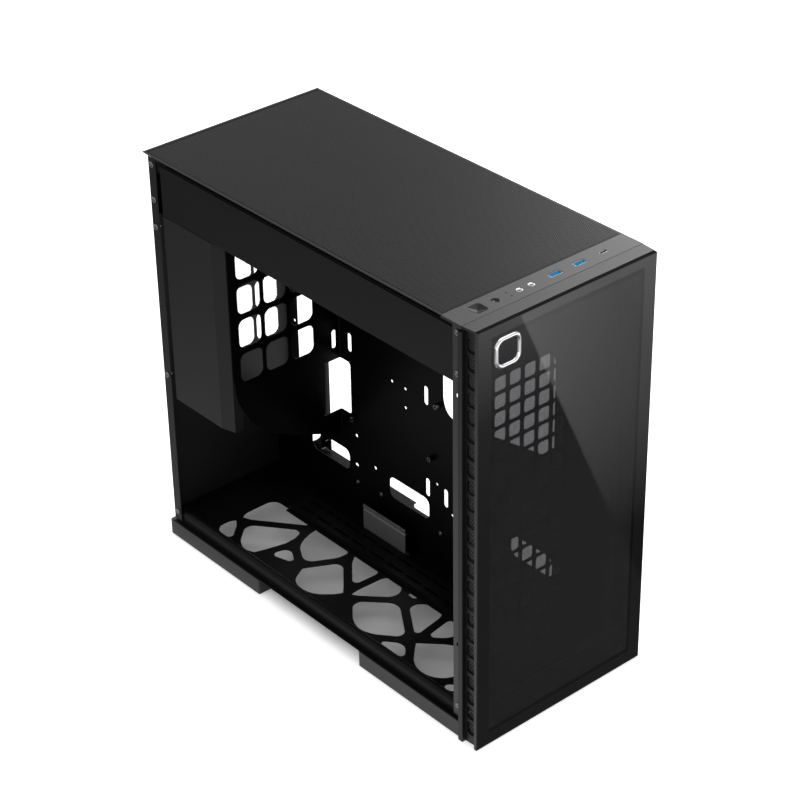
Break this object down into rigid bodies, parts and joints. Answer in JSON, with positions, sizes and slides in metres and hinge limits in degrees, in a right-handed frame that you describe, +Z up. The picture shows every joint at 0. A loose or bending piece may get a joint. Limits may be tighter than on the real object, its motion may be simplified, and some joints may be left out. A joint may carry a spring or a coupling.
{
  "type": "tower computer case",
  "caption": "Open E-ATX tower computer case: folded steel chassis with webbed floor, windowed partition, dark front glass, meshed top and a port strip with press buttons.",
  "frame": {"origin": "centre of the bounding box's underside, on the floor under the middle of the case", "axes": "+X across the case (the open component side is -X), +Y from the glass front to the rear, +Z up"},
  "size_m": [0.233, 0.5146, 0.48],
  "materials": {
    "chassis_paint": "satin black powder coat",
    "tray_paint": "semi-gloss black",
    "bracket_paint": "satin black",
    "slot_cover_paint": "satin black",
    "top_paint": "satin black, finely perforated",
    "strip_paint": "satin dark grey",
    "button_paint": "satin dark grey",
    "panel_plastic": "fine matte black",
    "glass_dark": "dark tinted, black printed border",
    "vent_mesh": "black honeycomb mesh",
    "filter_mesh": "fine woven mesh",
    "badge_metal": "bright",
    "badge_dark": "gloss",
    "foot_plastic": "matte black",
    "pad_rubber": "matte",
    "screw_nickel": "nickel plated",
    "stud_brass": "plated",
    "board_resin": "dark resin board",
    "switch_plastic": "moulded",
    "lens_clear": "clear",
    "jack_metal": "bright",
    "port_steel": "plain",
    "port_blue": "moulded",
    "port_black": "moulded"
  },
  "bodies": {
    "chassis": {"floor_pan": "chassis_paint", "rear_wall": "chassis_paint", "front_wall": "chassis_paint", "front_pillar_left": "chassis_paint", "front_pillar_right": "chassis_paint", "front_sill": "chassis_paint", "roof_frame": "chassis_paint", "port_deck": "chassis_paint", "top_side_band": "chassis_paint", "rear_cover": "chassis_paint", "slotted_rail": "chassis_paint", "motherboard_tray": "tray_paint", "drive_bracket": "bracket_paint", "slot_cover_1": "slot_cover_paint", "slot_cover_2": "slot_cover_paint", "slot_cover_3": "slot_cover_paint", "slot_cover_4": "slot_cover_paint", "slot_cover_5": "slot_cover_paint", "slot_cover_6": "slot_cover_paint", "slot_cover_7": "slot_cover_paint", "slot_cover_8": "slot_cover_paint", "top_cover": "top_paint", "port_strip": "strip_paint", "front_panel": "panel_plastic", "front_side_left": "panel_plastic", "front_side_right": "panel_plastic", "front_glass": "glass_dark", "vent_mesh_left": "vent_mesh", "vent_mesh_right": "vent_mesh", "rear_filter_mesh": "filter_mesh", "badge_bezel": "badge_metal", "badge_insert": "badge_dark", "front_left_foot": "foot_plastic", "front_right_foot": "foot_plastic", "rear_left_foot": "foot_plastic", "rear_right_foot": "foot_plastic", "front_left_pad": "pad_rubber", "front_right_pad": "pad_rubber", "rear_left_pad": "pad_rubber", "rear_right_pad": "pad_rubber", "panel_screws": "screw_nickel", "slot_screws": "screw_nickel", "standoffs": "stud_brass", "tray_screws": "stud_brass", "port_board": "board_resin", "power_switch": "switch_plastic", "reset_switch": "switch_plastic", "indicator_lenses": "lens_clear", "audio_jack_1": "jack_metal", "audio_jack_2": "jack_metal", "wide_port_shell_1": "port_steel", "wide_port_shell_2": "port_steel", "small_port_shell": "port_steel", "wide_port_tongue_1": "port_blue", "wide_port_tongue_2": "port_blue", "small_port_tongue": "port_black"},
    "power_button_body": {"power_button": "button_paint", "power_plunger": "switch_plastic"},
    "reset_button_body": {"reset_button": "button_paint", "reset_plunger": "switch_plastic"}
  },
  "joints": [
    {"name": "power_button_press", "type": "slide", "parent": "chassis", "child": "power_button_body", "axis": [0, 0, -1], "range_m": [0, 0.0015], "stiffness_N_per_m": 800},
    {"name": "reset_button_press", "type": "slide", "parent": "chassis", "child": "reset_button_body", "axis": [0, 0, -1], "range_m": [0, 0.001], "stiffness_N_per_m": 800}
  ]
}
